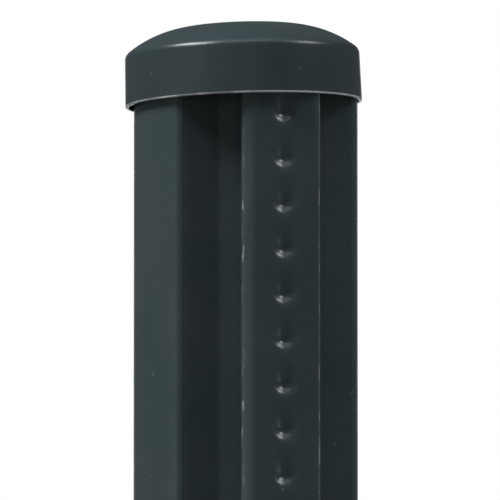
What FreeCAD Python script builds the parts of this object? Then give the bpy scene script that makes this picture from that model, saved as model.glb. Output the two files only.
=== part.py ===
import FreeCAD, Part
import math
import os

# Round fence post, folded from one strip of steel, with a domed cap pushed over its top end.
# Millimetres. +Z is up, the clip rail faces -Y, and the origin is on the round shaft's axis at the foot.
# In the section, "front" is a distance from the axis towards the rail.

# Shaft
post_length = 1500.0
post_radius = 24.0
sheet = 1.2

# Recess on both sides of the rail
recess_depth = 11.0      # from the round outline's front down to the flat part of the floor
lip_radius = 2.0         # outside of the fold between the round shaft and the recess
neck_half = 5.2          # half the neck's width, just behind the rail
neck_lean = 8.0          # degrees that each side of the neck leans outwards towards the floor
root_radius = 1.4        # hollow fold at the neck's foot, on the recess's side
floor_knee = 10.8        # from the middle out to where the flat floor starts to rise towards the neck
floor_rise = 17.0        # degrees of that rise
knee_bend = 6.0          # radius of the bend there, at the middle of the sheet

# Clip rail
rail_setback = 1.1       # the rail's flat face lies this much inside the round outline
flange_left = 3.4        # how far the rail stands out past the neck
flange_right = 3.7
seam_gap = 0.15          # between the layers of the folded seam
fold_radius = 0.5        # inside of the folds between neck and rail
seam_end_gap = 0.3       # from the closing hem's end to the neck

# Dimples pressed along the rail, each a hollow that deepens downwards and stops at a ledge
dimple_pitch = 9.65
dimple_width = 6.8       # at the ledge
dimple_height = 7.9
dimple_depth = 0.95
dimple_side = 0.4        # their middle line stands this much to the right of the shaft's axis
top_margin = 5.3         # plain rail above the first dimple
foot_margin = 5.0        # and at least this much below the last

# Cap
cap_clearance = 0.75     # between the skirt and the round shaft
cap_skirt_wall = 0.65    # at the rim
cap_draft = 0.2          # the skirt's outside is this much narrower at its top
cap_overlap = 8.5        # how far the skirt reaches down past the post's end
cap_rim_round = 0.3
cap_shoulder_rise = 1.7  # from the post's end up to where the skirt's straight side stops
cap_edge_radius = 1.9    # rounded edge between skirt and dome
cap_edge_slope = 38.0    # degrees that the dome falls where it meets that edge
cap_dome_radius = 24.0   # outer part of the dome
cap_crown_radius = 120.0
cap_wall = 1.1           # thickness of the dome
cap_seat = 3.0           # width of the ledge that rests on the post's end
cap_lean = 1.8           # degrees that the cap leans to its left
cap_lean_side = 20.5     # degrees round from the rail to the side where the lean shows
cap_touch_gap = 0.05     # left between the skirt and the shaft on the side it is pushed towards
cap_seat_gap = 0.03      # left between the ledge and the post's end where they are closest

half_sheet = sheet / 2
ring_radius = post_radius - half_sheet
rail_front = post_radius - rail_setback
floor_front = post_radius - recess_depth
layer_step = sheet + seam_gap
hem_outer = layer_step + half_sheet
rail_left = neck_half + flange_left
rail_right = neck_half + flange_right


def turned(vector, angle):
    """The vector turned about +Z, in radians."""
    c = math.cos(angle)
    s = math.sin(angle)
    return FreeCAD.Vector(c * vector.x - s * vector.y, s * vector.x + c * vector.y, 0)


def joined(start, end):
    """A straight edge."""
    return Part.LineSegment(start, end).toShape()


class Strip:
    """The middle line of a folded sheet: straight runs and bends, each tangent to the last."""

    def __init__(self, x, y, heading):
        self.point = FreeCAD.Vector(x, y, 0)
        self.ahead = turned(FreeCAD.Vector(1, 0, 0), math.radians(heading))
        self.parts = []

    def run(self, length):
        self.parts.append((self.point, self.ahead, length, 0.0))
        self.point = self.point + self.ahead * length

    def bend(self, radius, degrees):
        """Turn left for a positive angle and right for a negative one."""
        turn = math.radians(degrees)
        self.parts.append((self.point, self.ahead, radius, turn))
        spoke = turned(self.ahead, math.pi / 2) * math.copysign(radius, turn)
        self.point = self.point + spoke - turned(spoke, turn)
        self.ahead = turned(self.ahead, turn)

    def side_edges(self, offset):
        """The line that runs this far to the left of the middle line."""
        edges = []
        for point, ahead, size, turn in self.parts:
            left = turned(ahead, math.pi / 2)
            start = point + left * offset
            if turn == 0:
                edges.append(joined(start, start + ahead * size))
                continue
            centre = point + left * math.copysign(size, turn)
            spoke = start - centre
            middle = centre + turned(spoke, turn / 2)
            edges.append(Part.Arc(start, middle, centre + turned(spoke, turn)).toShape())
        return edges

    def face(self, thickness):
        """The sheet's section, cut straight at both ends of the strip."""
        left = self.side_edges(thickness / 2)
        right = self.side_edges(-thickness / 2)
        first = joined(left[0].valueAt(left[0].FirstParameter), right[0].valueAt(right[0].FirstParameter))
        last = joined(left[-1].valueAt(left[-1].LastParameter), right[-1].valueAt(right[-1].LastParameter))
        return Part.Face(Part.Wire(left + [last] + right[::-1] + [first]))


def bend_take(radius, degrees):
    """How much of each straight side a bend of this turn takes up, measured from their corner."""
    return radius * math.tan(math.radians(degrees) / 2)


def post_section():
    """One strip: from the tongue in the left hem, round the shaft, to the hem that closes over it."""
    # The three layers of the seam, at the middle of each sheet
    front_layer = rail_front - half_sheet
    tongue_layer = front_layer - layer_step
    back_layer = tongue_layer - layer_step
    floor_layer = floor_front - half_sheet
    left_hem_x = rail_left - hem_outer
    right_hem_x = rail_right - hem_outer

    # The neck's sides lean, so the folds at the rail turn more than a right angle
    lean = math.radians(neck_lean)
    fold_turn = 90 + neck_lean
    neck_mid = neck_half - half_sheet / math.cos(lean)
    rail_back = back_layer - half_sheet
    tongue_corner = neck_mid - (tongue_layer - rail_back) * math.tan(lean)
    back_corner = neck_mid - (back_layer - rail_back) * math.tan(lean)
    fold = fold_radius + half_sheet
    fold_take = bend_take(fold, fold_turn)

    # At the root, the neck's side meets the rising part of the floor
    rise = math.radians(floor_rise)
    root_turn = 90 - neck_lean - floor_rise
    root = root_radius + half_sheet
    root_take = bend_take(root, root_turn)
    knee_take = bend_take(knee_bend, floor_rise)
    neck_height = rail_back - floor_layer - floor_knee * math.tan(rise)
    root_x = (neck_mid + neck_height * math.tan(lean)) / (1 - math.tan(rise) * math.tan(lean))
    root_front = floor_layer + (floor_knee - root_x) * math.tan(rise)
    neck_run = (back_layer - root_front) / math.cos(lean) - fold_take - root_take
    rise_run = (floor_knee - root_x) / math.cos(rise) - root_take - knee_take

    # The lip touches the floor and the round shaft
    lip = lip_radius - half_sheet
    lip_front = floor_layer - lip
    lip_x = math.sqrt((ring_radius - lip) ** 2 - lip_front ** 2)
    lip_turn = math.degrees(math.atan2(lip_x, lip_front))
    floor_run = lip_x - floor_knee - knee_take

    strip = Strip(-left_hem_x, -tongue_layer, 0)
    strip.run(left_hem_x - tongue_corner - fold_take)
    strip.bend(fold, fold_turn)
    strip.run(neck_run + layer_step / math.cos(lean))
    strip.bend(root, root_turn)
    strip.run(rise_run)
    strip.bend(knee_bend, floor_rise)
    strip.run(floor_run)
    strip.bend(lip, -lip_turn)
    strip.bend(ring_radius, 2 * lip_turn - 360)
    strip.bend(lip, -lip_turn)
    strip.run(floor_run)
    strip.bend(knee_bend, floor_rise)
    strip.run(rise_run)
    strip.bend(root, root_turn)
    strip.run(neck_run)
    strip.bend(fold, fold_turn)
    strip.run(right_hem_x - back_corner - fold_take)
    strip.bend(layer_step, -180)
    strip.run(right_hem_x + left_hem_x)
    strip.bend(layer_step, -180)
    strip.run(left_hem_x - neck_half - seam_end_gap)
    return strip.face(sheet)


def dimple_tool():
    """The end of a round bar that leans into the rail, with its top at the origin's height."""
    half_width = dimple_width / 2
    lean = math.atan(dimple_depth / dimple_height)
    radius = (half_width ** 2 + dimple_depth ** 2) / (2 * dimple_depth)
    deepest = FreeCAD.Vector(0, dimple_depth - rail_front, -dimple_height)
    up = FreeCAD.Vector(0, -math.sin(lean), math.cos(lean))
    inwards = FreeCAD.Vector(0, math.cos(lean), math.sin(lean))
    centre = deepest - inwards * radius
    bar = Part.makeCylinder(radius, 2 * dimple_height, centre, up)
    # A quarter turn keeps the bar's own seam out of the hollow
    bar.rotate(centre, up, 90)
    return bar


def dimple_tops():
    """Heights of the dimples' tops, from the top down, for as many whole dimples as fit."""
    highest = post_length - top_margin
    count = 1 + int((highest - foot_margin - dimple_height) / dimple_pitch)
    return [highest - i * dimple_pitch for i in range(count)]


def make_post():
    blank = post_section().extrude(FreeCAD.Vector(0, 0, post_length))
    bar = dimple_tool()
    return blank.cut([bar.translated(FreeCAD.Vector(dimple_side, 0, z)) for z in dimple_tops()])


def on_arc(centre, radius, slope):
    """The point of an arc in the X-Z plane where its outside slopes this much, in radians."""
    return centre + FreeCAD.Vector(math.sin(slope), 0, math.cos(slope)) * radius


def sloped_arc(centre, radius, start, end):
    """The part of an arc in the X-Z plane between two slopes."""
    ends = [on_arc(centre, radius, slope) for slope in (start, (start + end) / 2, end)]
    return Part.Arc(*ends).toShape()


def cap_profile():
    """Half the cap's section, with the ledge at height 0 and the cap's axis at x 0."""
    bore = post_radius + cap_clearance
    rim_radius = bore + cap_skirt_wall
    top_radius = rim_radius - cap_draft

    # Edge, dome and crown are tangent arcs
    steep = math.radians(cap_edge_slope)
    edge_centre = FreeCAD.Vector(top_radius - cap_edge_radius, 0, cap_shoulder_rise)
    dome_centre = on_arc(edge_centre, cap_edge_radius - cap_dome_radius, steep)
    flat = math.asin(dome_centre.x / (cap_crown_radius - cap_dome_radius))
    crown_centre = on_arc(dome_centre, cap_dome_radius - cap_crown_radius, flat)
    outside = [sloped_arc(edge_centre, cap_edge_radius, math.pi / 2, steep),
               sloped_arc(dome_centre, cap_dome_radius, steep, flat),
               sloped_arc(crown_centre, cap_crown_radius, flat, 0)]

    # The inside follows the dome as far as the ledge's inner edge
    ledge_x = bore - cap_seat
    inner_dome = cap_dome_radius - cap_wall
    inner_crown = cap_crown_radius - cap_wall
    inner_slope = math.asin((ledge_x - dome_centre.x) / inner_dome)
    inside = [sloped_arc(crown_centre, inner_crown, 0, flat),
              sloped_arc(dome_centre, inner_dome, flat, inner_slope)]

    # The rim's outer corner is rounded
    rim = -cap_overlap
    round_centre = FreeCAD.Vector(rim_radius - cap_rim_round, 0, rim + cap_rim_round)
    rim_round = sloped_arc(round_centre, cap_rim_round, math.pi, math.pi / 2)
    rim_inner = FreeCAD.Vector(bore, 0, rim)
    bore_top = FreeCAD.Vector(bore, 0, 0)
    ledge = FreeCAD.Vector(ledge_x, 0, 0)
    edges = [joined(rim_inner, on_arc(round_centre, cap_rim_round, math.pi)),
             rim_round,
             joined(on_arc(round_centre, cap_rim_round, math.pi / 2),
                    on_arc(edge_centre, cap_edge_radius, math.pi / 2))]
    edges += outside
    edges.append(joined(on_arc(crown_centre, cap_crown_radius, 0), on_arc(crown_centre, inner_crown, 0)))
    edges += inside
    edges += [joined(on_arc(dome_centre, inner_dome, inner_slope), ledge),
              joined(ledge, bore_top),
              joined(bore_top, rim_inner)]
    return Part.Face(Part.Wire(edges))


def make_cap():
    """The cap stands a little askew: pushed to one side, leaning over, and resting on one edge."""
    cap = cap_profile().revolve(FreeCAD.Vector(0, 0, 0), FreeCAD.Vector(0, 0, 1), 360)
    shown_side = turned(FreeCAD.Vector(0, -1, 0), -math.radians(cap_lean_side))
    cap.rotate(FreeCAD.Vector(0, 0, 0), shown_side, cap_lean)
    low_side = turned(shown_side, -math.pi / 2)
    push = cap_clearance - cap_touch_gap
    lift = (post_radius - push) * math.tan(math.radians(cap_lean)) + cap_seat_gap
    cap.translate(low_side * push + FreeCAD.Vector(0, 0, post_length + lift))
    return cap


os.makedirs("parts", exist_ok=True)
make_post().exportStep("parts/post.step")
make_cap().exportStep("parts/cap.step")
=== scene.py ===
import math
import bpy
from mathutils import Matrix, Vector


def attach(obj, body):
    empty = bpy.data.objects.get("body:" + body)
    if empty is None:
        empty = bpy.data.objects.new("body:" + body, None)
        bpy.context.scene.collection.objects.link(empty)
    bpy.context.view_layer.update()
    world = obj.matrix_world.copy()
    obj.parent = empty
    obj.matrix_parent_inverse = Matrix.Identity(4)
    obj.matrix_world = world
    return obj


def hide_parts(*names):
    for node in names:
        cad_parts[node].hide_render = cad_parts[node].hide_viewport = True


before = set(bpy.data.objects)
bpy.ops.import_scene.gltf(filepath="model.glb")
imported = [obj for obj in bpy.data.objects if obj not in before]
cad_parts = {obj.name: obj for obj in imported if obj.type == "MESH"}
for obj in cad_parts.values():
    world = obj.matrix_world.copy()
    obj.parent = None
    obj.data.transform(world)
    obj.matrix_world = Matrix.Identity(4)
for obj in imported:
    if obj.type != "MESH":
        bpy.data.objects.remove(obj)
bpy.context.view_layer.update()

# Lengths of the post and cap are in millimetres, with the clip rail towards -Y.
MM = 0.001
POST_LENGTH = 1500.0
POST_RADIUS = 24.0
SHEET = 1.2
RECESS_DEPTH = 11.0
LIP_RADIUS = 2.0
NECK_HALF = 5.2
NECK_LEAN = 8.0
ROOT_RADIUS = 1.4
FLOOR_KNEE = 10.8
FLOOR_RISE = 17.0
KNEE_BEND = 6.0
RAIL_SETBACK = 1.1
FLANGE_LEFT = 3.4
FLANGE_RIGHT = 3.7
SEAM_GAP = 0.15
FOLD_RADIUS = 0.5
SEAM_END_GAP = 0.3
NOSE_RADIUS = 1.2
NOSE_TURN = 38.0
NOSE_FLAT = 0.9
TONGUE_END = 6.35
RAIL_FRONT = POST_RADIUS - RAIL_SETBACK
DIMPLE_PITCH = 9.65
DIMPLE_COUNT = 154
DIMPLE_SIDE = 0.4
TOP_MARGIN = 5.3
EDGE_BEVEL = 0.12

# Faces along each bend of the strip
FOLD_STEPS = 9
ROOT_STEPS = 10
KNEE_STEPS = 6
LIP_STEPS = 12
SHAFT_STEPS = 150
HEM_STEPS = 16
NOSE_STEPS = 6
NOSE_END_STEPS = 14

# Degrees past which an edge stays sharp, and how near counts as the same place, in metres
SHARP_ANGLE = 50.0
MERGE_REACH = 2e-6
PICK_REACH = 1e-5


# Modelling by hand

def pick_nothing():
    bpy.ops.object.select_all(action="DESELECT")


def pick(piece):
    pick_nothing()
    piece.select_set(True)
    bpy.context.view_layer.objects.active = piece


def edit(piece, kind="FACE"):
    pick(piece)
    bpy.ops.object.mode_set(mode="EDIT")
    bpy.ops.mesh.select_mode(type=kind)


def leave_edit():
    bpy.ops.object.mode_set(mode="OBJECT")


def pick_points(piece, wanted):
    """Selects the vertices whose place passes the test, in edit mode."""
    bpy.ops.mesh.select_all(action="DESELECT")
    leave_edit()
    for vertex in piece.data.vertices:
        vertex.select = wanted(vertex.co)
    bpy.ops.object.mode_set(mode="EDIT")


def pick_faces(piece, wanted):
    """Selects the faces that pass the test, in edit mode."""
    bpy.ops.mesh.select_all(action="DESELECT")
    leave_edit()
    for face in piece.data.polygons:
        face.select = wanted(face)
    bpy.ops.object.mode_set(mode="EDIT")


def new_plate(name, centre, turn, width, height):
    """A flat plate with its place in its mesh."""
    pick_nothing()
    bpy.ops.mesh.primitive_plane_add(size=1)
    plate = bpy.context.object
    plate.name = plate.data.name = name
    plate.scale = (width, height, 1)
    plate.rotation_euler = turn
    plate.location = centre
    bpy.ops.object.transform_apply(location=True, rotation=True, scale=True)
    return plate


def finish_mesh(piece):
    """Doubles merged, normals outwards, and smooth shading up to the sharp angle."""
    edit(piece)
    bpy.ops.mesh.select_all(action="SELECT")
    bpy.ops.mesh.remove_doubles(threshold=MERGE_REACH)
    bpy.ops.mesh.normals_make_consistent(inside=False)
    bpy.ops.mesh.select_all(action="DESELECT")
    leave_edit()
    bpy.ops.object.shade_smooth_by_angle(angle=math.radians(SHARP_ANGLE))


def apply_modifier(piece, kind, **settings):
    pick(piece)
    modifier = piece.modifiers.new(kind.title(), kind)
    for name, value in settings.items():
        setattr(modifier, name, value)
    bpy.ops.object.modifier_apply(modifier=modifier.name)


def turned(vector, angle):
    return Matrix.Rotation(angle, 3, "Z") @ vector


class Fold:
    """Leads what is selected along a line of straight runs and bends, as a strip goes through its rollers."""

    def __init__(self, x, y, heading):
        self.point = Vector((x, y, 0))
        self.ahead = turned(Vector((1, 0, 0)), math.radians(heading))

    def run(self, length):
        step = self.ahead * length
        bpy.ops.mesh.extrude_region_move(TRANSFORM_OT_translate={"value": step * MM})
        self.point += step

    def bend(self, radius, degrees, steps):
        turn = math.radians(degrees)
        spoke = turned(self.ahead, math.pi / 2) * math.copysign(radius, turn)
        centre = self.point + spoke
        bpy.ops.mesh.spin(steps=steps, angle=-turn, center=centre * MM, axis=(0, 0, 1))
        self.point = centre - turned(spoke, turn)
        self.ahead = turned(self.ahead, turn)


# The post

def bend_take(radius, degrees):
    return radius * math.tan(math.radians(degrees) / 2)


def fold_post():
    """The strip, folded from the tongue in the left hem, round the shaft, to the hem that closes over it."""
    half = SHEET / 2
    layer_step = SHEET + SEAM_GAP
    tongue_layer = RAIL_FRONT - half - layer_step
    back_layer = tongue_layer - layer_step
    rail_back = back_layer - half
    floor_layer = POST_RADIUS - RECESS_DEPTH - half
    ring_radius = POST_RADIUS - half
    right_hem_x = NECK_HALF + FLANGE_RIGHT - layer_step - half

    # The front of the left hem slopes back before it turns round the tongue
    nose = math.radians(NOSE_TURN)
    nose_drop = NOSE_RADIUS * (1 - math.cos(nose)) + NOSE_FLAT * math.sin(nose)
    nose_tight = (2 * layer_step - nose_drop) / (1 + math.cos(nose))
    nose_slope = NOSE_RADIUS * math.sin(nose) + NOSE_FLAT * math.cos(nose)
    nose_x = NECK_HALF + FLANGE_LEFT - nose_slope - nose_tight * (1 - math.sin(nose)) - half
    closing_x = nose_x + nose_slope - nose_tight * math.sin(nose)

    lean = math.radians(NECK_LEAN)
    fold_turn = 90 + NECK_LEAN
    neck_mid = NECK_HALF - half / math.cos(lean)
    tongue_corner = neck_mid - (tongue_layer - rail_back) * math.tan(lean)
    back_corner = neck_mid - (back_layer - rail_back) * math.tan(lean)
    fold = FOLD_RADIUS + half
    fold_take = bend_take(fold, fold_turn)

    rise = math.radians(FLOOR_RISE)
    root_turn = 90 - NECK_LEAN - FLOOR_RISE
    root = ROOT_RADIUS + half
    root_take = bend_take(root, root_turn)
    knee_take = bend_take(KNEE_BEND, FLOOR_RISE)
    neck_height = rail_back - floor_layer - FLOOR_KNEE * math.tan(rise)
    root_x = (neck_mid + neck_height * math.tan(lean)) / (1 - math.tan(rise) * math.tan(lean))
    root_front = floor_layer + (FLOOR_KNEE - root_x) * math.tan(rise)
    neck_run = (back_layer - root_front) / math.cos(lean) - fold_take - root_take
    rise_run = (FLOOR_KNEE - root_x) / math.cos(rise) - root_take - knee_take

    lip = LIP_RADIUS - half
    lip_front = floor_layer - lip
    lip_x = math.sqrt((ring_radius - lip) ** 2 - lip_front ** 2)
    lip_turn = math.degrees(math.atan2(lip_x, lip_front))
    floor_run = lip_x - FLOOR_KNEE - knee_take

    start = Vector((-TONGUE_END, -tongue_layer, POST_LENGTH / 2)) * MM
    post = new_plate("steel_post", start, (0, math.pi / 2, 0), POST_LENGTH * MM, SHEET * MM)
    edit(post)
    bpy.ops.mesh.select_all(action="SELECT")
    strip = Fold(-TONGUE_END, -tongue_layer, 0)
    strip.run(TONGUE_END - tongue_corner - fold_take)
    strip.bend(fold, fold_turn, FOLD_STEPS)
    strip.run(neck_run + layer_step / math.cos(lean))
    strip.bend(root, root_turn, ROOT_STEPS)
    strip.run(rise_run)
    strip.bend(KNEE_BEND, FLOOR_RISE, KNEE_STEPS)
    strip.run(floor_run)
    strip.bend(lip, -lip_turn, LIP_STEPS)
    strip.bend(ring_radius, 2 * lip_turn - 360, SHAFT_STEPS)
    strip.bend(lip, -lip_turn, LIP_STEPS)
    strip.run(floor_run)
    strip.bend(KNEE_BEND, FLOOR_RISE, KNEE_STEPS)
    strip.run(rise_run)
    strip.bend(root, root_turn, ROOT_STEPS)
    strip.run(neck_run)
    strip.bend(fold, fold_turn, FOLD_STEPS)
    strip.run(right_hem_x - back_corner - fold_take)
    strip.bend(layer_step, -180, HEM_STEPS)
    strip.run(right_hem_x + nose_x)
    strip.bend(NOSE_RADIUS, -NOSE_TURN, NOSE_STEPS)
    strip.run(NOSE_FLAT)
    strip.bend(nose_tight, NOSE_TURN - 180, NOSE_END_STEPS)
    strip.run(closing_x - NECK_HALF - SEAM_END_GAP)
    leave_edit()
    finish_mesh(post)
    apply_modifier(post, "BEVEL", width=EDGE_BEVEL * MM, segments=2, limit_method="ANGLE",
                   angle_limit=math.radians(SHARP_ANGLE))
    return post


# One dimple, as distances below its top and outwards from its middle, with the two ends of its form:
# its narrow top, and the bowl that it widens to
DIMPLE_ROWS = [0.0, 1.0, 2.0, 3.0, 4.0, 5.0, 5.6, 6.1, 6.6, 7.1, 7.6, 8.1, 8.7]
DIMPLE_COLUMNS = [0.0, 0.5, 1.0, 1.5, 2.0, 2.5, 3.1, 3.7, 4.1]
DIMPLE_DEPTH = 1.16
RAMP_CURVE = 1.7
DEEPEST_ROW = 6.6
WIDEST_ROW = 4.0
BOWL_ROW = 5.6
BOWL_FLAT = 0.4
BOWL_RADIUS = 3.3
TOP_FLAT = 0.2
TOP_RADIUS = 1.6
LEAST_DEPTH = 0.001


def dimple_depth(x, down):
    """A ramp that deepens downwards, with a round wall that ends it in a ledge."""
    ramp = min(down / DEEPEST_ROW, 1) ** RAMP_CURVE
    widening = min(down / WIDEST_ROW, 1)
    flat = TOP_FLAT + (BOWL_FLAT - TOP_FLAT) * widening
    reach = TOP_RADIUS + (BOWL_RADIUS - TOP_RADIUS) * widening
    away = math.hypot(x, max(down - BOWL_ROW, 0))
    wall = min(max((away - flat) / (reach - flat), 0), 1)
    return DIMPLE_DEPTH * ramp * math.cos(math.pi / 2 * wall) ** 2


def press_dimple(name, top):
    """One pitch of the rail's face, with its dimple pushed in."""
    centre = Vector((DIMPLE_SIDE, -RAIL_FRONT, top - DIMPLE_PITCH / 2)) * MM
    face = new_plate(name, centre, (math.pi / 2, 0, 0), 2 * DIMPLE_COLUMNS[-1] * MM, DIMPLE_PITCH * MM)
    edit(face, "VERT")
    for x in DIMPLE_COLUMNS[:-1]:
        for side in {x, -x}:
            bpy.ops.mesh.select_all(action="SELECT")
            bpy.ops.mesh.bisect(plane_co=((DIMPLE_SIDE + side) * MM, 0, 0), plane_no=(1, 0, 0))
    for down in DIMPLE_ROWS[1:]:
        bpy.ops.mesh.select_all(action="SELECT")
        bpy.ops.mesh.bisect(plane_co=(0, 0, (top - down) * MM), plane_no=(0, 0, 1))
    for down in DIMPLE_ROWS[1:]:
        for x in DIMPLE_COLUMNS:
            depth = dimple_depth(x, down)
            if depth < LEAST_DEPTH:
                continue
            pick_points(face, lambda p: abs(abs(p.x - DIMPLE_SIDE * MM) - x * MM) < PICK_REACH
                        and abs(p.z - (top - down) * MM) < PICK_REACH)
            bpy.ops.transform.translate(value=(0, depth * MM, 0))
    leave_edit()
    return face


def is_rail_front(face):
    """True for the one wide face at the rail's front."""
    return face.normal.y < -0.999 and face.area > 0.01 and face.center.y < -(RAIL_FRONT - SHEET / 2) * MM


def make_post():
    post = fold_post()
    dimples = press_dimple("rail_dimples", POST_LENGTH - TOP_MARGIN)
    apply_modifier(dimples, "ARRAY", count=DIMPLE_COUNT, use_relative_offset=False, use_constant_offset=True,
                   constant_offset_displace=(0, 0, -DIMPLE_PITCH * MM), use_merge_vertices=True,
                   merge_threshold=PICK_REACH)
    # The plain front face makes way for the dimples, and its margin is filled again
    edit(post)
    pick_faces(post, is_rail_front)
    bpy.ops.mesh.delete(type="FACE")
    leave_edit()
    pick(post)
    dimples.select_set(True)
    bpy.ops.object.join()
    edit(post, "EDGE")
    bpy.ops.mesh.select_all(action="DESELECT")
    bpy.ops.mesh.select_non_manifold(extend=False, use_wire=False, use_boundary=True, use_multi_face=False,
                                     use_non_contiguous=False, use_verts=False)
    bpy.ops.mesh.fill(use_beauty=False)
    leave_edit()
    finish_mesh(post)
    return post


# The cap

CAP_CLEARANCE = 0.75
CAP_SKIRT_WALL = 0.65
CAP_DRAFT = 0.2
CAP_OVERLAP = 8.5
CAP_RIM_ROUND = 0.3
# Height of the band above the rim's rounding that takes the painted highlight
CAP_PAINTED_BAND_RISE = 0.10
CAP_SHOULDER_RISE = 1.7
CAP_EDGE_RADIUS = 1.9
CAP_EDGE_SLOPE = 38.0
CAP_DOME_RADIUS = 24.0
CAP_CROWN_RADIUS = 120.0
CAP_WALL = 1.1
CAP_SEAT = 3.0
CAP_LEAN = 1.8
CAP_LEAN_SIDE = 20.5
CAP_TOUCH_GAP = 0.05
CAP_SEAT_GAP = 0.03
CROWN_STEPS = 6
DOME_STEPS = 14
CAP_EDGE_STEPS = 12
CAP_RIM_STEPS = 6
INNER_DOME_STEPS = 8
CAP_ROUND_STEPS = 180


def slope_point(centre, radius, slope):
    """The point of an arc in the cap's profile where the surface has the given slope."""
    return centre + Vector((math.sin(slope), 0, math.cos(slope))) * radius


def draw_to(point, target):
    """Extrudes the profile's last point to the target."""
    bpy.ops.mesh.extrude_region_move(TRANSFORM_OT_translate={"value": (target - point) * MM})
    return target


def draw_arc(centre, radius, start, end, steps):
    """Spins the profile's last point about the centre, from one slope to another."""
    bpy.ops.mesh.spin(steps=steps, angle=start - end, center=centre * MM, axis=(0, 1, 0))
    return slope_point(centre, radius, end)


def turn_cap():
    """The cap's profile, drawn from its apex down its outside and up its inside, and spun round."""
    bore = POST_RADIUS + CAP_CLEARANCE
    rim_radius = bore + CAP_SKIRT_WALL
    top_radius = rim_radius - CAP_DRAFT
    steep = math.radians(CAP_EDGE_SLOPE)
    upright = math.pi / 2
    edge_centre = Vector((top_radius - CAP_EDGE_RADIUS, 0, CAP_SHOULDER_RISE))
    dome_centre = slope_point(edge_centre, CAP_EDGE_RADIUS - CAP_DOME_RADIUS, steep)
    flat = math.asin(dome_centre.x / (CAP_CROWN_RADIUS - CAP_DOME_RADIUS))
    crown_centre = slope_point(dome_centre, CAP_DOME_RADIUS - CAP_CROWN_RADIUS, flat)
    ledge_x = bore - CAP_SEAT
    inner_dome = CAP_DOME_RADIUS - CAP_WALL
    inner_crown = CAP_CROWN_RADIUS - CAP_WALL
    inner_slope = math.asin((ledge_x - dome_centre.x) / inner_dome)
    rim = -CAP_OVERLAP
    round_centre = Vector((rim_radius - CAP_RIM_ROUND, 0, rim + CAP_RIM_ROUND))

    cap = new_plate("end_cap", (0, 0, 0), (0, 0, 0), MM, MM)
    cap.data.materials.append(None)
    cap.data.materials.append(None)
    edit(cap, "VERT")
    bpy.ops.mesh.select_all(action="SELECT")
    bpy.ops.mesh.merge(type="CENTER")
    apex = slope_point(crown_centre, CAP_CROWN_RADIUS, 0)
    bpy.ops.transform.translate(value=apex * MM)
    draw_arc(crown_centre, CAP_CROWN_RADIUS, 0, flat, CROWN_STEPS)
    draw_arc(dome_centre, CAP_DOME_RADIUS, flat, steep, DOME_STEPS)
    point = draw_arc(edge_centre, CAP_EDGE_RADIUS, steep, upright, CAP_EDGE_STEPS)
    rim_top = slope_point(round_centre, CAP_RIM_ROUND, upright)
    point = draw_to(point, rim_top + (point - rim_top).normalized() * CAP_PAINTED_BAND_RISE)
    point = draw_to(point, rim_top)
    point = draw_arc(round_centre, CAP_RIM_ROUND, upright, math.pi, CAP_RIM_STEPS)
    point = draw_to(point, Vector((bore, 0, rim)))
    point = draw_to(point, Vector((bore, 0, 0)))
    point = draw_to(point, Vector((ledge_x, 0, 0)))
    point = draw_to(point, slope_point(dome_centre, inner_dome, inner_slope))
    draw_arc(dome_centre, inner_dome, inner_slope, flat, INNER_DOME_STEPS)
    draw_arc(crown_centre, inner_crown, flat, 0, CROWN_STEPS)
    bpy.ops.mesh.select_all(action="SELECT")
    bpy.ops.mesh.spin(steps=CAP_ROUND_STEPS, angle=2 * math.pi, center=(0, 0, 0), axis=(0, 0, 1))
    leave_edit()
    finish_mesh(cap)
    # The second slot, which carries a painted highlight, is the rim's rounding and the band above it, without
    # the flat face under the rim
    for face in cap.data.polygons:
        height = face.center.z / MM - rim
        face.material_index = int(0.01 < height < CAP_RIM_ROUND + CAP_PAINTED_BAND_RISE)
    return cap


def make_cap():
    """The cap stands a little askew: pushed to one side, leaning over, and resting on one edge."""
    cap = turn_cap()
    shown_side = turned(Vector((0, -1, 0)), -math.radians(CAP_LEAN_SIDE))
    low_side = turned(shown_side, -math.pi / 2)
    push = CAP_CLEARANCE - CAP_TOUCH_GAP
    lift = (POST_RADIUS - push) * math.tan(math.radians(CAP_LEAN)) + CAP_SEAT_GAP
    place = Matrix.Translation((low_side * push + Vector((0, 0, POST_LENGTH + lift))) * MM)
    cap.matrix_world = place @ Matrix.Rotation(math.radians(CAP_LEAN), 4, shown_side)
    pick(cap)
    bpy.ops.object.transform_apply(location=True, rotation=True, scale=True)
    return cap


# Materials

COAT_DEEP = (0.0390, 0.0600, 0.0665)
COAT_PALE = (0.0435, 0.0650, 0.0720)
COAT_ROUGHNESS = 0.27
COAT_RELIEF = 0.00006
CAP_DEEP = (0.0370, 0.0550, 0.0610)
CAP_PALE = (0.0410, 0.0595, 0.0660)
CAP_ROUGHNESS = 0.28
CAP_RELIEF = 0.00008
# Pale colour of the highlight painted along the cap's rim
RIM_HIGHLIGHT_PAINT = (0.50, 0.52, 0.52)
# Pale colour of the highlights painted along the rail's edges
EDGE_HIGHLIGHT_PAINT = (0.30, 0.32, 0.31)
DUST = (0.20, 0.21, 0.20)
PAPER_DEEP = (0.80, 0.80, 0.80)
PAPER_PALE = (0.82, 0.82, 0.82)

# Highlights painted on the rail's edges, in millimetres from the axis: where they start and are full towards
# the front, and each edge's place, the painted highlight's reach from it, and the share that is painted all
# along it
EDGE_HIGHLIGHT_START = 20.5
EDGE_HIGHLIGHT_FULL = 21.0
RIGHT_EDGE_HIGHLIGHT = (8.50, 0.32, 0.18)
LEFT_EDGE_HIGHLIGHT = (-8.50, 0.10, 0.05)


def add(tree, kind, **settings):
    """A new node, whose settings are its own or, where it has none of that name, its sockets' values."""
    node = tree.nodes.new(kind)
    for name, value in settings.items():
        if hasattr(node, name):
            setattr(node, name, value)
        else:
            node.inputs[name.replace("_", " ")].default_value = value
    return node


def new_material(name):
    material = bpy.data.materials.new(name)
    material.use_nodes = True
    return material, material.node_tree, material.node_tree.nodes["Principled BSDF"]


def link(tree, *pairs):
    for source, target in pairs:
        tree.links.new(source, target)


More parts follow.
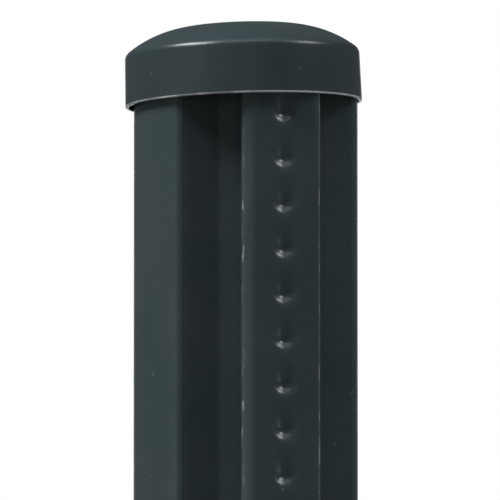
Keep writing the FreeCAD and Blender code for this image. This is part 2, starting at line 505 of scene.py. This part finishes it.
def noise(tree, place, scale, detail=2.0, stretch=None):
    """Fine noise on Object coordinates, drawn out along the post where a stretch is given."""
    if stretch:
        mapping = add(tree, "ShaderNodeMapping", vector_type="POINT")
        mapping.inputs["Scale"].default_value = stretch
        link(tree, (place, mapping.inputs["Vector"]))
        place = mapping.outputs["Vector"]
    texture = add(tree, "ShaderNodeTexNoise", Scale=scale, Detail=detail)
    link(tree, (place, texture.inputs["Vector"]))
    return texture.outputs["Fac"]


def spread(tree, value, low, high, to_low, to_high):
    """A value carried from one range to another, held at its ends."""
    node = add(tree, "ShaderNodeMapRange", clamp=True)
    for socket, number in zip(("From Min", "From Max", "To Min", "To Max"), (low, high, to_low, to_high)):
        node.inputs[socket].default_value = number
    link(tree, (value, node.inputs["Value"]))
    return node.outputs["Result"]


def blend_color(tree, share, first, second):
    """Two colours mixed. A Mix node's colours are its sockets 6 and 7, and its mixed colour is output 2."""
    node = add(tree, "ShaderNodeMix", data_type="RGBA")
    link(tree, (share, node.inputs["Factor"]))
    for socket, color in ((node.inputs[6], first), (node.inputs[7], second)):
        if isinstance(color, tuple):
            socket.default_value = (*color, 1)
        else:
            link(tree, (color, socket))
    return node.outputs[2]


def math_node(tree, operation, first, second):
    node = add(tree, "ShaderNodeMath", operation=operation)
    for socket, value in zip(node.inputs, (first, second)):
        if isinstance(value, (int, float)):
            socket.default_value = value
        else:
            link(tree, (value, socket))
    return node.outputs["Value"]


def multiply(tree, first, second):
    return math_node(tree, "MULTIPLY", first, second)


def new_group(name, numbers, results):
    """A node group that reads a place and some numbers, with what comes in and what goes out of it."""
    group = bpy.data.node_groups.new(name, "ShaderNodeTree")
    group.interface.new_socket("Vector", in_out="INPUT", socket_type="NodeSocketVector")
    for number in numbers:
        group.interface.new_socket(number, in_out="INPUT", socket_type="NodeSocketFloat")
    for result in results:
        group.interface.new_socket(result, in_out="OUTPUT", socket_type="NodeSocketFloat")
    return group, add(group, "NodeGroupInput").outputs, add(group, "NodeGroupOutput").inputs


def make_dust_group():
    """Pale specks of dust, a few to the square centimetre, and the faint clouding that handling leaves."""
    group, given, result = new_group("settled dust", ["Cell Scale"], ["Specks", "Clouds"])
    cells = add(group, "ShaderNodeTexVoronoi")
    link(group, (given["Vector"], cells.inputs["Vector"]), (given["Cell Scale"], cells.inputs["Scale"]))
    dots = spread(group, cells.outputs["Distance"], 0.05, 0.12, 1, 0)
    split = add(group, "ShaderNodeSeparateColor")
    link(group, (cells.outputs["Color"], split.inputs["Color"]))
    chosen = spread(group, split.outputs["Red"], 0.90, 0.98, 0, 1)
    clouds = spread(group, noise(group, given["Vector"], 60, 3), 0.35, 0.7, 0, 1)
    link(group, (multiply(group, dots, chosen), result["Specks"]), (clouds, result["Clouds"]))
    return group


def make_skin_group():
    """The fine unevenness of a coating or a moulding: its waves and its grain."""
    group, given, result = new_group("surface skin", ["Wave Scale", "Grain Scale", "Grain Share"], ["Height"])
    heights = []
    for size in ("Wave Scale", "Grain Scale"):
        texture = add(group, "ShaderNodeTexNoise", Detail=1.5)
        link(group, (given["Vector"], texture.inputs["Vector"]), (given[size], texture.inputs["Scale"]))
        heights.append(texture.outputs["Fac"])
    waves, grain = heights
    grain = multiply(group, grain, given["Grain Share"])
    link(group, (math_node(group, "ADD", waves, grain), result["Height"]))
    return group


def place_group(tree, group, place, **values):
    node = add(tree, "ShaderNodeGroup", node_tree=group)
    link(tree, (place, node.inputs["Vector"]))
    for name, value in values.items():
        node.inputs[name.replace("_", " ")].default_value = value
    return node


def edge_highlight(tree, place, x, reach, evenly):
    """Pale marks painted along one edge of the rail, as highlights on its rounding and its small dents."""
    split = add(tree, "ShaderNodeSeparateXYZ")
    link(tree, (place, split.inputs["Vector"]))
    side = add(tree, "ShaderNodeMath", operation="COMPARE")
    side.inputs[1].default_value = x * MM
    side.inputs[2].default_value = reach * MM
    link(tree, (split.outputs["X"], side.inputs[0]))
    front = spread(tree, split.outputs["Y"], -EDGE_HIGHLIGHT_START * MM, -EDGE_HIGHLIGHT_FULL * MM, 0, 1)
    painted_edge_light = spread(tree, noise(tree, place, 900, 3, (1, 1, 0.3)), 0.52, 0.64, evenly, 1)
    return multiply(tree, multiply(tree, side.outputs["Value"], front), painted_edge_light)


def add_bump(tree, shader, height, depth):
    bump = add(tree, "ShaderNodeBump", Strength=1.0, Distance=depth)
    link(tree, (height, bump.inputs["Height"]), (bump.outputs["Normal"], shader.inputs["Normal"]))


def make_powder_coat(dust, skin):
    """The post's dark coat, with its orange peel, dust, and highlights painted pale along the rail's edges.
    """
    material, tree, shader = new_material("anthracite powder coat")
    place = add(tree, "ShaderNodeTexCoord").outputs["Object"]
    specks = place_group(tree, dust, place, Cell_Scale=260.0)
    tone = spread(tree, noise(tree, place, 35, 4, (1, 1, 0.15)), 0.3, 0.7, 0, 1)
    steel = blend_color(tree, tone, COAT_DEEP, COAT_PALE)
    dusty = blend_color(tree, multiply(tree, specks.outputs["Clouds"], 0.06), steel, DUST)
    specked = blend_color(tree, multiply(tree, specks.outputs["Specks"], 0.5), dusty, DUST)
    # The rail's edges are painted pale where light would catch their rounding and dents
    painted_edge_light = math_node(tree, "ADD", edge_highlight(tree, place, *RIGHT_EDGE_HIGHLIGHT),
                      edge_highlight(tree, place, *LEFT_EDGE_HIGHLIGHT))
    color = blend_color(tree, painted_edge_light, specked, EDGE_HIGHLIGHT_PAINT)
    link(tree, (color, shader.inputs["Base Color"]))
    gloss = spread(tree, noise(tree, place, 400, 2), 0.3, 0.7, COAT_ROUGHNESS - 0.03, COAT_ROUGHNESS + 0.03)
    link(tree, (gloss, shader.inputs["Roughness"]))
    peel = place_group(tree, skin, place, Wave_Scale=180.0, Grain_Scale=1400.0, Grain_Share=0.15)
    add_bump(tree, shader, peel.outputs["Height"], COAT_RELIEF)
    return material


def make_cap_plastic(dust, skin):
    """The cap's smooth plastic in nearly the coat's colour, with a slow ripple and dust."""
    material, tree, shader = new_material("moulded cap plastic")
    place = add(tree, "ShaderNodeTexCoord").outputs["Object"]
    specks = place_group(tree, dust, place, Cell_Scale=330.0)
    tone = spread(tree, noise(tree, place, 50, 3), 0.3, 0.7, 0, 1)
    plastic = blend_color(tree, tone, CAP_DEEP, CAP_PALE)
    color = blend_color(tree, multiply(tree, specks.outputs["Specks"], 0.6), plastic, DUST)
    link(tree, (color, shader.inputs["Base Color"]))
    gloss = spread(tree, noise(tree, place, 150, 3), 0.3, 0.7, CAP_ROUGHNESS - 0.02, CAP_ROUGHNESS + 0.03)
    link(tree, (gloss, shader.inputs["Roughness"]))
    ripple = place_group(tree, skin, place, Wave_Scale=90.0, Grain_Scale=1800.0, Grain_Share=0.05)
    add_bump(tree, shader, ripple.outputs["Height"], CAP_RELIEF)
    return material


def make_cap_rim_highlight():
    """A highlight painted along the cap's rim as a pale band, patchy with noise."""
    material, tree, shader = new_material("painted cap rim highlight")
    place = add(tree, "ShaderNodeTexCoord").outputs["Object"]
    broken = spread(tree, noise(tree, place, 180, 5), 0.38, 0.6, 0.4, 1)
    link(tree, (blend_color(tree, broken, CAP_PALE, RIM_HIGHLIGHT_PAINT), shader.inputs["Base Color"]))
    link(tree, (spread(tree, broken, 0, 1, 0.3, 0.5), shader.inputs["Roughness"]))
    return material


# The studio

CAMERA_SIDE = math.radians(-20.5)
CAMERA_RISE = math.radians(-4.95)
CAMERA_DISTANCE = 2.0
SENSOR = 36.0
PIXELS_PER_METRE = 4660
FRAME_PIXELS = 500
AXIS_PIXEL = 245.75
RIM_PIXEL = 105.5
RIM_LIFT = 0.6
LAMP_DISTANCE = 1.5
LAMP_AIM = 1.45
WORLD_GLOW = 0.05
WALL_GLOW = 0.07
ROOM_WIDTH = 4.0
ROOM_FRONT = 2.4
ROOM_BACK = 9.0
ROOM_HEIGHT = 3.2
FLOOR_BACK = 3.0

# Each soft lamp's name, degrees round from the camera and above the level, width, height and glow
SOFTBOXES = [
    ("left_key", -66, 50, 0.76, 0.50, 18.7),
    ("right_key", 75, 38, 0.46, 0.46, 9.0),
    ("front_lamp", -2, 60, 0.6, 0.5, 1.5),
    ("front_panel", 48, 58, 0.9, 0.4, 0.9),
    ("top_panel", 0, 82, 1.0, 1.0, 0.4),
    ("front_card", 8, 8, 0.8, 0.6, 0.09),
    ("left_reflector", -60, -10, 1.4, 0.4, 1.5),
    ("right_reflector", 90, -28, 1.2, 0.8, 1.4),
]


def place_camera():
    """A long lens at the photo's angle, with the post's axis and the cap's rim where the photo has them."""
    lens = bpy.data.cameras.new("photo_camera")
    camera = bpy.data.objects.new("photo_camera", lens)
    bpy.context.scene.collection.objects.link(camera)
    bpy.context.scene.camera = camera
    back = Vector((math.sin(CAMERA_SIDE) * math.cos(CAMERA_RISE),
                   -math.cos(CAMERA_SIDE) * math.cos(CAMERA_RISE), math.sin(CAMERA_RISE)))
    right = Vector((math.cos(CAMERA_SIDE), math.sin(CAMERA_SIDE), 0))
    up = back.cross(right)
    rim = Vector((0, 0, (POST_LENGTH - CAP_OVERLAP + RIM_LIFT) * MM))
    middle = FRAME_PIXELS / 2
    aside = (middle - AXIS_PIXEL) / PIXELS_PER_METRE
    below = (middle - RIM_PIXEL) / PIXELS_PER_METRE
    target = rim + right * aside - up * below
    lens.sensor_width = SENSOR
    lens.lens = SENSOR * CAMERA_DISTANCE / (FRAME_PIXELS / PIXELS_PER_METRE)
    lens.clip_end = 100
    camera.location = target + back * CAMERA_DISTANCE
    camera.rotation_euler = (-back).to_track_quat("-Z", "Y").to_euler()


def hang_softbox(name, side, rise, width, height, glow):
    """A soft lamp aimed at the post's top, placed by its angles to the camera, with its face's brightness."""
    lamp = bpy.data.lights.new(name, "AREA")
    lamp.shape = "RECTANGLE"
    lamp.size = width
    lamp.size_y = height
    lamp.energy = math.pi * width * height * glow
    box = bpy.data.objects.new(name, lamp)
    bpy.context.scene.collection.objects.link(box)
    around = CAMERA_SIDE + math.radians(side)
    rise = math.radians(rise)
    away = Vector((math.sin(around) * math.cos(rise), -math.cos(around) * math.cos(rise), math.sin(rise)))
    box.location = Vector((0, 0, LAMP_AIM)) + away * LAMP_DISTANCE
    box.rotation_euler = (-away).to_track_quat("-Z", "Y").to_euler()
    box.visible_camera = False


def light_studio():
    """The lamps, and a world that is dim to diffuse rays and white behind the post and in what it mirrors."""
    for softbox in SOFTBOXES:
        hang_softbox(*softbox)
    world = bpy.data.worlds.new("studio")
    bpy.context.scene.world = world
    world.use_nodes = True
    tree = world.node_tree
    tree.nodes.clear()
    dim = add(tree, "ShaderNodeBackground", Color=(WORLD_GLOW, WORLD_GLOW, WORLD_GLOW, 1))
    white = add(tree, "ShaderNodeBackground", Color=(1, 1, 1, 1))
    path = add(tree, "ShaderNodeLightPath").outputs
    camera_or_glossy = math_node(tree, "MAXIMUM", path["Is Camera Ray"], path["Is Glossy Ray"])
    shown = math_node(tree, "MAXIMUM", camera_or_glossy, path["Is Transmission Ray"])
    choose = add(tree, "ShaderNodeMixShader")
    out = add(tree, "ShaderNodeOutputWorld")
    link(tree, (shown, choose.inputs["Fac"]), (dim.outputs["Background"], choose.inputs[1]),
         (white.outputs["Background"], choose.inputs[2]), (choose.outputs["Shader"], out.inputs["Surface"]))


def build_room():
    """The studio's dim walls and ceiling, open at the back towards the white background."""
    pick_nothing()
    bpy.ops.mesh.primitive_cube_add(size=1)
    room = bpy.context.object
    room.name = room.data.name = "studio_room"
    room.scale = (ROOM_WIDTH, ROOM_FRONT + ROOM_BACK, ROOM_HEIGHT)
    room.location = (0, (ROOM_BACK - ROOM_FRONT) / 2, ROOM_HEIGHT / 2)
    bpy.ops.object.transform_apply(location=True, rotation=True, scale=True)
    edit(room)
    pick_faces(room, lambda f: f.normal.z < -0.9 or f.normal.y > 0.9)
    bpy.ops.mesh.delete(type="FACE")
    leave_edit()
    room.rotation_euler = (0, 0, CAMERA_SIDE)
    room.visible_camera = False
    material, tree, shader = new_material("dim studio wall")
    shader.inputs["Base Color"].default_value = (0, 0, 0, 1)
    shader.inputs["Specular IOR Level"].default_value = 0
    shader.inputs["Emission Color"].default_value = (WALL_GLOW, WALL_GLOW, WALL_GLOW, 1)
    shader.inputs["Emission Strength"].default_value = 1
    room.data.materials.append(material)


def make_floor_paper():
    material, tree, shader = new_material("pale floor")
    place = add(tree, "ShaderNodeTexCoord").outputs["Object"]
    paper = blend_color(tree, noise(tree, place, 3, 3), PAPER_DEEP, PAPER_PALE)
    link(tree, (paper, shader.inputs["Base Color"]))
    shader.inputs["Roughness"].default_value = 0.8
    return material


def lay_floor():
    """Pale paper over the floor around the post, with the white background past its end."""
    centre = (0, (FLOOR_BACK - ROOM_FRONT) / 2, 0)
    floor = new_plate("studio_floor", centre, (0, 0, 0), ROOM_WIDTH, ROOM_FRONT + FLOOR_BACK)
    floor.rotation_euler = (0, 0, CAMERA_SIDE)
    floor.data.materials.append(make_floor_paper())


def dress(piece, node, *materials):
    """Puts the materials on a piece and lets it stand for its CAD node."""
    while len(piece.data.materials) < len(materials):
        piece.data.materials.append(None)
    for slot, material in enumerate(materials):
        piece.data.materials[slot] = material
    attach(piece, "root")
    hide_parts(node)


post = make_post()
cap = make_cap()
dust = make_dust_group()
skin = make_skin_group()
dress(post, "post", make_powder_coat(dust, skin))
dress(cap, "cap", make_cap_plastic(dust, skin), make_cap_rim_highlight())
place_camera()
light_studio()
build_room()
lay_floor()
bpy.context.scene.view_settings.view_transform = "Standard"
